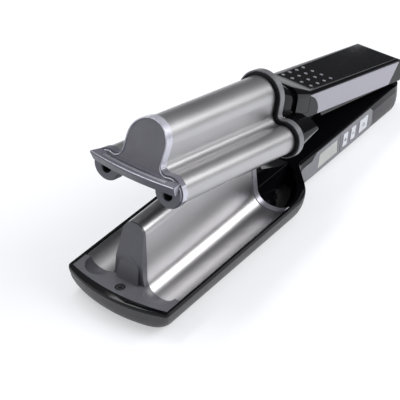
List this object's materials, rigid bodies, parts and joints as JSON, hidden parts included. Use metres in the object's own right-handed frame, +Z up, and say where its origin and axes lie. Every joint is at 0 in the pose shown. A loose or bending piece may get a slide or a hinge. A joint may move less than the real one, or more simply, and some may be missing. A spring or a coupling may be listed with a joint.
{
  "type": "hair waver",
  "caption": "Hinged three-barrel hair waver: ridged wave plate below, formed barrel shell above, spring hinge, keys and swivel cord inlet.",
  "frame": {"origin": "on the flat resting face, straight below the hinge pin", "axes": "+X along the arms from the nose to the cord inlet, +Y to the left seen from the nose (the keys are on -Y), +Z up"},
  "size_m": [0.2864, 0.07, 0.1105],
  "materials": {
    "casing": "satin, fine",
    "black_gloss": "high gloss",
    "black_matt": "matt",
    "plate": "satin titanium-grey coating",
    "trim": "satin silver-lilac lacquer",
    "nose_plastic": "satin, fine grain",
    "panel": "satin metallic",
    "window": "gloss",
    "keys": "satin gloss",
    "heater": "as extruded",
    "ceramic": "matt heat-proof",
    "board": "solder mask",
    "steel": "zinc plated"
  },
  "bodies": {
    "lower_arm": {"lower_housing": "casing", "lower_bezel": "black_gloss", "lower_deck": "black_gloss", "wave_plate": "plate", "plate_trim_ring": "trim", "heat_bowl": "black_gloss", "nose_cap": "nose_plastic", "nose_screw": "steel", "ridge_heater": "heater", "trough_heaters": "heater", "heater_tray": "ceramic", "plate_thermostat": "black_matt", "control_panel": "panel", "display_window": "window", "display_module": "black_matt", "button_switches": "black_matt", "circuit_board": "board", "hinge_bracket": "steel", "hinge_pin": "steel", "pin_clips": "steel", "hinge_spring": "steel", "housing_screws": "steel", "swivel_seat": "black_matt"},
    "upper_arm": {"barrel_shell": "plate", "upper_nose_cap": "nose_plastic", "grip_strip": "nose_plastic", "barrel_end_plugs": "ceramic", "cap_screws": "steel", "barrel_heaters": "heater", "heat_shield": "black_matt", "flange_band": "trim", "upper_handle": "black_gloss", "grip_dots": "trim", "side_strip_left": "trim", "side_strip_right": "trim", "upper_inner_cover": "black_gloss", "hinge_knuckle": "steel", "knuckle_screws": "steel"},
    "key_plus": {"button_plus": "keys"},
    "key_minus": {"button_minus": "keys"},
    "key_power": {"button_power": "keys"},
    "swivel": {"cord_swivel": "black_matt"}
  },
  "joints": [
    {"name": "jaw_hinge", "type": "hinge", "parent": "lower_arm", "child": "upper_arm", "pos_m": [0, 0, 0.0083], "axis": [0, 1, 0], "range_deg": [-13.7, 0], "stiffness_Nm_per_rad": 1.2, "springref_deg": 34.38},
    {"name": "plus_press", "type": "slide", "parent": "lower_arm", "child": "key_plus", "axis": [0, 1, 0], "range_m": [0, 0.0005], "stiffness_N_per_m": 600, "springref_m": -0.0005},
    {"name": "minus_press", "type": "slide", "parent": "lower_arm", "child": "key_minus", "axis": [0, 1, 0], "range_m": [0, 0.0005], "stiffness_N_per_m": 600, "springref_m": -0.0005},
    {"name": "power_press", "type": "slide", "parent": "lower_arm", "child": "key_power", "axis": [0, 1, 0], "range_m": [0, 0.0005], "stiffness_N_per_m": 600, "springref_m": -0.0005},
    {"name": "cord_turn", "type": "hinge", "parent": "lower_arm", "child": "swivel", "pos_m": [0.0163, 0, 0.0084], "axis": [1, 0, 0], "continuous": true}
  ]
}
